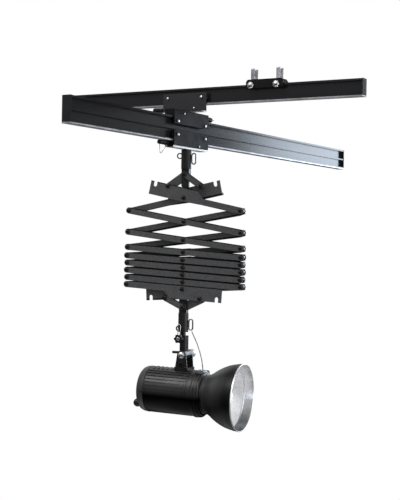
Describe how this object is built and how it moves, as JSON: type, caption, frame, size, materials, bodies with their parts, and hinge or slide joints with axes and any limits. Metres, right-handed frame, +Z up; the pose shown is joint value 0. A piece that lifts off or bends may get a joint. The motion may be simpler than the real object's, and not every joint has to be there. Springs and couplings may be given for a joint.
{
  "type": "ceiling rail system",
  "caption": "Studio ceiling rail system: crossed I-section rails, rolling carriages, a folding scissor hanger and a tilting studio light with an open reflector",
  "frame": {"origin": "centre of the flat top face of the ceiling saddle", "axes": "+X along the upper rail, +Y along the lower rail away from the camera, +Z up into the ceiling"},
  "size_m": [0.922, 1.59, 0.9534],
  "materials": {
    "black_rail": "satin black anodised aluminium extrusion",
    "black_steel": "fine textured black powder coat",
    "arm_grey": "matt dark grey powder coat",
    "bare_aluminium": "bare satin aluminium",
    "bright_steel": "zinc plated steel",
    "black_plastic": "moulded black plastic",
    "nylon": "off-white nylon",
    "housing_black": "satin black moulded shell",
    "glass": "frosted glass"
  },
  "bodies": {
    "overhead": {"upper_rail": "black_rail", "ceiling_saddle": "black_steel", "saddle_bolt_left": "bright_steel", "saddle_bolt_right": "bright_steel"},
    "cross_carriage": {"upper_bar": "bare_aluminium", "cross_bar": "black_steel", "upper_plate_front": "black_steel", "upper_plate_rear": "black_steel", "cross_plate_front": "black_steel", "cross_plate_rear": "black_steel"},
    "upper_wheel_1": {"upper_wheel_1": "nylon"},
    "upper_wheel_2": {"upper_wheel_2": "nylon"},
    "upper_wheel_3": {"upper_wheel_3": "nylon"},
    "upper_wheel_4": {"upper_wheel_4": "nylon"},
    "upper_brake": {"upper_brake": "black_steel"},
    "cross_brake": {"cross_brake": "black_steel"},
    "lower_rail": {"lower_rail": "black_rail"},
    "trolley": {"trolley_block": "bare_aluminium", "trolley_plate_front": "black_steel", "trolley_plate_rear": "black_steel"},
    "trolley_wheel_1": {"trolley_wheel_1": "nylon"},
    "trolley_wheel_2": {"trolley_wheel_2": "nylon"},
    "trolley_wheel_3": {"trolley_wheel_3": "nylon"},
    "trolley_wheel_4": {"trolley_wheel_4": "nylon"},
    "trolley_brake": {"trolley_brake": "black_steel"},
    "top_hanger": {"top_socket": "black_steel"},
    "top_lock": {"top_lock": "black_steel"},
    "link_top_left": {"link_top_left": "arm_grey"},
    "link_top_right": {"link_top_right": "arm_grey"},
    "arm_front_1": {"arm_front_1": "arm_grey"},
    "arm_rear_1": {"arm_rear_1": "arm_grey"},
    "arm_rear_2": {"arm_rear_2": "arm_grey"},
    "arm_front_2": {"arm_front_2": "arm_grey"},
    "arm_rear_3": {"arm_rear_3": "arm_grey"},
    "arm_front_3": {"arm_front_3": "arm_grey"},
    "arm_rear_4": {"arm_rear_4": "arm_grey"},
    "arm_front_4": {"arm_front_4": "arm_grey"},
    "arm_rear_5": {"arm_rear_5": "arm_grey"},
    "arm_front_5": {"arm_front_5": "arm_grey"},
    "arm_rear_6": {"arm_rear_6": "arm_grey"},
    "arm_front_6": {"arm_front_6": "arm_grey"},
    "arm_rear_7": {"arm_rear_7": "arm_grey"},
    "arm_front_7": {"arm_front_7": "arm_grey"},
    "arm_rear_8": {"arm_rear_8": "arm_grey"},
    "arm_front_8": {"arm_front_8": "arm_grey"},
    "arm_rear_9": {"arm_rear_9": "arm_grey"},
    "arm_front_9": {"arm_front_9": "arm_grey"},
    "link_bottom_right": {"link_bottom_right": "arm_grey"},
    "link_bottom_left": {"link_bottom_left": "arm_grey"},
    "bottom_hanger": {"bottom_socket": "black_steel"},
    "bottom_lock": {"bottom_lock": "black_steel"},
    "light_stem": {"light_spigot": "bright_steel", "tilt_hub": "black_plastic"},
    "clamp_knob": {"clamp_knob": "black_plastic"},
    "light_head": {"tilt_yoke": "black_plastic", "light_housing": "housing_black", "reflector": "bare_aluminium", "glass_dome": "glass", "safety_cable": "bright_steel"},
    "tilt_knob": {"tilt_knob": "bright_steel"}
  },
  "joints": [
    {"name": "cross_travel", "type": "slide", "parent": "overhead", "child": "cross_carriage", "axis": [1, 0, 0], "range_m": [-0.335, 0.435]},
    {"name": "upper_wheel_1_roll", "type": "hinge", "parent": "cross_carriage", "child": "upper_wheel_1", "pos_m": [-0.2925, -0.007, -0.0382], "axis": [0, 1, 0], "range_deg": [-1500, 1950]},
    {"name": "upper_wheel_2_roll", "type": "hinge", "parent": "cross_carriage", "child": "upper_wheel_2", "pos_m": [-0.1875, -0.007, -0.0382], "axis": [0, 1, 0], "range_deg": [-1500, 1950]},
    {"name": "upper_wheel_3_roll", "type": "hinge", "parent": "cross_carriage", "child": "upper_wheel_3", "pos_m": [-0.2925, 0.007, -0.0382], "axis": [0, 1, 0], "range_deg": [-1500, 1950]},
    {"name": "upper_wheel_4_roll", "type": "hinge", "parent": "cross_carriage", "child": "upper_wheel_4", "pos_m": [-0.1875, 0.007, -0.0382], "axis": [0, 1, 0], "range_deg": [-1500, 1950]},
    {"name": "upper_brake_turn", "type": "hinge", "parent": "cross_carriage", "child": "upper_brake", "pos_m": [-0.33, 0, -0.06675], "axis": [1, 0, 0], "range_deg": [-25, 25]},
    {"name": "cross_brake_turn", "type": "hinge", "parent": "cross_carriage", "child": "cross_brake", "pos_m": [-0.24, 0.11, -0.0834], "axis": [0, 1, 0], "range_deg": [-25, 25]},
    {"name": "lower_rail_travel", "type": "slide", "parent": "cross_carriage", "child": "lower_rail", "axis": [0, 1, 0], "range_m": [-0.95, 0.45]},
    {"name": "trolley_travel", "type": "slide", "parent": "lower_rail", "child": "trolley", "axis": [0, 1, 0], "range_m": [-0.45, 0.95]},
    {"name": "trolley_wheel_1_roll", "type": "hinge", "parent": "trolley", "child": "trolley_wheel_1", "pos_m": [-0.233, -0.072, -0.1412], "axis": [-1, 0, 0], "range_deg": [-2300, 4750]},
    {"name": "trolley_wheel_2_roll", "type": "hinge", "parent": "trolley", "child": "trolley_wheel_2", "pos_m": [-0.233, 0.072, -0.1412], "axis": [-1, 0, 0], "range_deg": [-2300, 4750]},
    {"name": "trolley_wheel_3_roll", "type": "hinge", "parent": "trolley", "child": "trolley_wheel_3", "pos_m": [-0.247, -0.072, -0.1412], "axis": [-1, 0, 0], "range_deg": [-2300, 4750]},
    {"name": "trolley_wheel_4_roll", "type": "hinge", "parent": "trolley", "child": "trolley_wheel_4", "pos_m": [-0.247, 0.072, -0.1412], "axis": [-1, 0, 0], "range_deg": [-2300, 4750]},
    {"name": "trolley_brake_turn", "type": "hinge", "parent": "trolley", "child": "trolley_brake", "pos_m": [-0.24, -0.12, -0.1663], "axis": [0, 1, 0], "range_deg": [-25, 25]},
    {"name": "hanger_swivel", "type": "hinge", "parent": "trolley", "child": "top_hanger", "pos_m": [-0.24, 0, -0.2], "axis": [0, 0, 1], "continuous": true},
    {"name": "top_lock_turn", "type": "hinge", "parent": "top_hanger", "child": "top_lock", "pos_m": [-0.24, 0, -0.2005], "axis": [0.9903, 0.1392, 0], "range_deg": [-90, 90]},
    {"name": "hanger_open", "type": "hinge", "parent": "top_hanger", "child": "link_top_left", "pos_m": [-0.24, 0, -0.243], "axis": [0.1392, -0.9903, 0], "range_deg": [0, 38]},
    {"name": "link_top_right_pivot", "type": "hinge", "parent": "top_hanger", "child": "link_top_right", "pos_m": [-0.24, 0, -0.243], "axis": [-0.1392, 0.9903, 0], "range_deg": [0, 38.5]},
    {"name": "arm_front_1_pivot", "type": "hinge", "parent": "link_top_left", "child": "arm_front_1", "pos_m": [-0.28691, -0.00659, -0.27471], "axis": [-0.1392, 0.9903, 0], "range_deg": [0, 77]},
    {"name": "arm_rear_1_pivot", "type": "hinge", "parent": "link_top_right", "child": "arm_rear_1", "pos_m": [-0.19309, 0.00659, -0.27471], "axis": [0.1392, -0.9903, 0], "range_deg": [0, 77]},
    {"name": "arm_rear_2_pivot", "type": "hinge", "parent": "arm_front_1", "child": "arm_rear_2", "pos_m": [-0.07921, 0.0226, -0.34093], "axis": [0.1392, -0.9903, 0], "range_deg": [0, 79]},
    {"name": "arm_front_2_pivot", "type": "hinge", "parent": "arm_rear_1", "child": "arm_front_2", "pos_m": [-0.40079, -0.0226, -0.34093], "axis": [-0.1392, 0.9903, 0], "range_deg": [0, 79]},
    {"name": "arm_rear_3_pivot", "type": "hinge", "parent": "arm_front_2", "child": "arm_rear_3", "pos_m": [-0.07712, 0.02289, -0.39915], "axis": [0.1392, -0.9903, 0], "range_deg": [0, 84]},
    {"name": "arm_front_3_pivot", "type": "hinge", "parent": "arm_rear_2", "child": "arm_front_3", "pos_m": [-0.40288, -0.02289, -0.39915], "axis": [-0.1392, 0.9903, 0], "range_deg": [0, 84]},
    {"name": "arm_rear_4_pivot", "type": "hinge", "parent": "arm_front_3", "child": "arm_rear_4", "pos_m": [-0.07671, 0.02295, -0.44076], "axis": [0.1392, -0.9903, 0], "range_deg": [0, 90]},
    {"name": "arm_front_4_pivot", "type": "hinge", "parent": "arm_rear_3", "child": "arm_front_4", "pos_m": [-0.40329, -0.02295, -0.44076], "axis": [-0.1392, 0.9903, 0], "range_deg": [0, 90]},
    {"name": "arm_rear_5_pivot", "type": "hinge", "parent": "arm_front_4", "child": "arm_rear_5", "pos_m": [-0.07533, 0.02314, -0.46392], "axis": [0.1392, -0.9903, 0], "range_deg": [0, 94]},
    {"name": "arm_front_5_pivot", "type": "hinge", "parent": "arm_rear_4", "child": "arm_front_5", "pos_m": [-0.40467, -0.02314, -0.46392], "axis": [-0.1392, 0.9903, 0], "range_deg": [0, 94]},
    {"name": "arm_rear_6_pivot", "type": "hinge", "parent": "arm_front_5", "child": "arm_rear_6", "pos_m": [-0.07648, 0.02298, -0.48361], "axis": [0.1392, -0.9903, 0], "range_deg": [0, 94]},
    {"name": "arm_front_6_pivot", "type": "hinge", "parent": "arm_rear_5", "child": "arm_front_6", "pos_m": [-0.40352, -0.02298, -0.48361], "axis": [-0.1392, 0.9903, 0], "range_deg": [0, 94]},
    {"name": "arm_rear_7_pivot", "type": "hinge", "parent": "arm_front_6", "child": "arm_rear_7", "pos_m": [-0.07533, 0.02314, -0.5033], "axis": [0.1392, -0.9903, 0], "range_deg": [0, 94]},
    {"name": "arm_front_7_pivot", "type": "hinge", "parent": "arm_rear_6", "child": "arm_front_7", "pos_m": [-0.40467, -0.02314, -0.5033], "axis": [-0.1392, 0.9903, 0], "range_deg": [0, 94]},
    {"name": "arm_rear_8_pivot", "type": "hinge", "parent": "arm_front_7", "child": "arm_rear_8", "pos_m": [-0.07648, 0.02298, -0.52299], "axis": [0.1392, -0.9903, 0], "range_deg": [0, 94]},
    {"name": "arm_front_8_pivot", "type": "hinge", "parent": "arm_rear_7", "child": "arm_front_8", "pos_m": [-0.40352, -0.02298, -0.52299], "axis": [-0.1392, 0.9903, 0], "range_deg": [0, 94]},
    {"name": "arm_rear_9_pivot", "type": "hinge", "parent": "arm_front_8", "child": "arm_rear_9", "pos_m": [-0.07533, 0.02314, -0.54268], "axis": [0.1392, -0.9903, 0], "range_deg": [0, 94]},
    {"name": "arm_front_9_pivot", "type": "hinge", "parent": "arm_rear_8", "child": "arm_front_9", "pos_m": [-0.40467, -0.02314, -0.54268], "axis": [-0.1392, 0.9903, 0], "range_deg": [0, 94]},
    {"name": "link_bottom_right_pivot", "type": "hinge", "parent": "arm_front_9", "child": "link_bottom_right", "pos_m": [-0.18951, 0.0071, -0.5768], "axis": [0.1392, -0.9903, 0], "range_deg": [0, 94]},
    {"name": "link_bottom_left_pivot", "type": "hinge", "parent": "arm_rear_9", "child": "link_bottom_left", "pos_m": [-0.29049, -0.0071, -0.5768], "axis": [-0.1392, 0.9903, 0], "range_deg": [0, 94]},
    {"name": "bottom_socket_level", "type": "hinge", "parent": "link_bottom_right", "child": "bottom_hanger", "pos_m": [-0.24058, -0.00008, -0.60107], "axis": [-0.1392, 0.9903, 0], "range_deg": [0, 48]},
    {"name": "bottom_lock_turn", "type": "hinge", "parent": "bottom_hanger", "child": "bottom_lock", "pos_m": [-0.24058, -0.00008, -0.64757], "axis": [0.9903, 0.1392, 0], "range_deg": [-90, 90]},
    {"name": "light_swivel", "type": "hinge", "parent": "bottom_hanger", "child": "light_stem", "pos_m": [-0.24058, -0.00008, -0.7], "axis": [0, 0, 1], "range_deg": [-90, 90]},
    {"name": "clamp_knob_turn", "type": "hinge", "parent": "light_stem", "child": "clamp_knob", "pos_m": [-0.24454, -0.00064, -0.68557], "axis": [-0.1392, 0.9903, 0], "range_deg": [-180, 180]},
    {"name": "light_tilt", "type": "hinge", "parent": "light_stem", "child": "light_head", "pos_m": [-0.23464, 0.00075, -0.72857], "axis": [-0.1392, 0.9903, 0], "range_deg": [-45, 60], "deforming": ["safety_cable"]},
    {"name": "tilt_knob_turn", "type": "hinge", "parent": "light_head", "child": "tilt_knob", "pos_m": [-0.23464, 0.00075, -0.72857], "axis": [-0.1392, 0.9903, 0], "range_deg": [-180, 180]}
  ],
  "couplings": [
    {"joint": "upper_wheel_1_roll", "follows": "cross_travel", "rad_per_m": 76.923},
    {"joint": "upper_wheel_2_roll", "follows": "cross_travel", "rad_per_m": 76.923},
    {"joint": "upper_wheel_3_roll", "follows": "cross_travel", "rad_per_m": 76.923},
    {"joint": "upper_wheel_4_roll", "follows": "cross_travel", "rad_per_m": 76.923},
    {"joint": "trolley_wheel_1_roll", "follows": "trolley_travel", "rad_per_m": 86.957},
    {"joint": "trolley_wheel_2_roll", "follows": "trolley_travel", "rad_per_m": 86.957},
    {"joint": "trolley_wheel_3_roll", "follows": "trolley_travel", "rad_per_m": 86.957},
    {"joint": "trolley_wheel_4_roll", "follows": "trolley_travel", "rad_per_m": 86.957},
    {"joint": "link_top_right_pivot", "follows": "hanger_open", "ratio": 1},
    {"joint": "arm_front_1_pivot", "follows": "hanger_open", "ratio": 2},
    {"joint": "arm_rear_1_pivot", "follows": "hanger_open", "ratio": 2},
    {"joint": "arm_rear_2_pivot", "follows": "hanger_open", "ratio": 2.05},
    {"joint": "arm_front_2_pivot", "follows": "hanger_open", "ratio": 2.05},
    {"joint": "arm_rear_3_pivot", "follows": "hanger_open", "ratio": 2.1763},
    {"joint": "arm_front_3_pivot", "follows": "hanger_open", "ratio": 2.1763},
    {"joint": "arm_rear_4_pivot", "follows": "hanger_open", "ratio": 2.3368},
    {"joint": "arm_front_4_pivot", "follows": "hanger_open", "ratio": 2.3368},
    {"joint": "arm_rear_5_pivot", "follows": "hanger_open", "ratio": 2.4368},
    {"joint": "arm_front_5_pivot", "follows": "hanger_open", "ratio": 2.4368},
    {"joint": "arm_rear_6_pivot", "follows": "hanger_open", "ratio": 2.4526},
    {"joint": "arm_front_6_pivot", "follows": "hanger_open", "ratio": 2.4526},
    {"joint": "arm_rear_7_pivot", "follows": "hanger_open", "ratio": 2.4526},
    {"joint": "arm_front_7_pivot", "follows": "hanger_open", "ratio": 2.4526},
    {"joint": "arm_rear_8_pivot", "follows": "hanger_open", "ratio": 2.4526},
    {"joint": "arm_front_8_pivot", "follows": "hanger_open", "ratio": 2.4526},
    {"joint": "arm_rear_9_pivot", "follows": "hanger_open", "ratio": 2.4526},
    {"joint": "arm_front_9_pivot", "follows": "hanger_open", "ratio": 2.4526},
    {"joint": "link_bottom_right_pivot", "follows": "hanger_open", "ratio": 2.4526},
    {"joint": "link_bottom_left_pivot", "follows": "hanger_open", "ratio": 2.4526},
    {"joint": "bottom_socket_level", "follows": "hanger_open", "ratio": 1.2263}
  ]
}
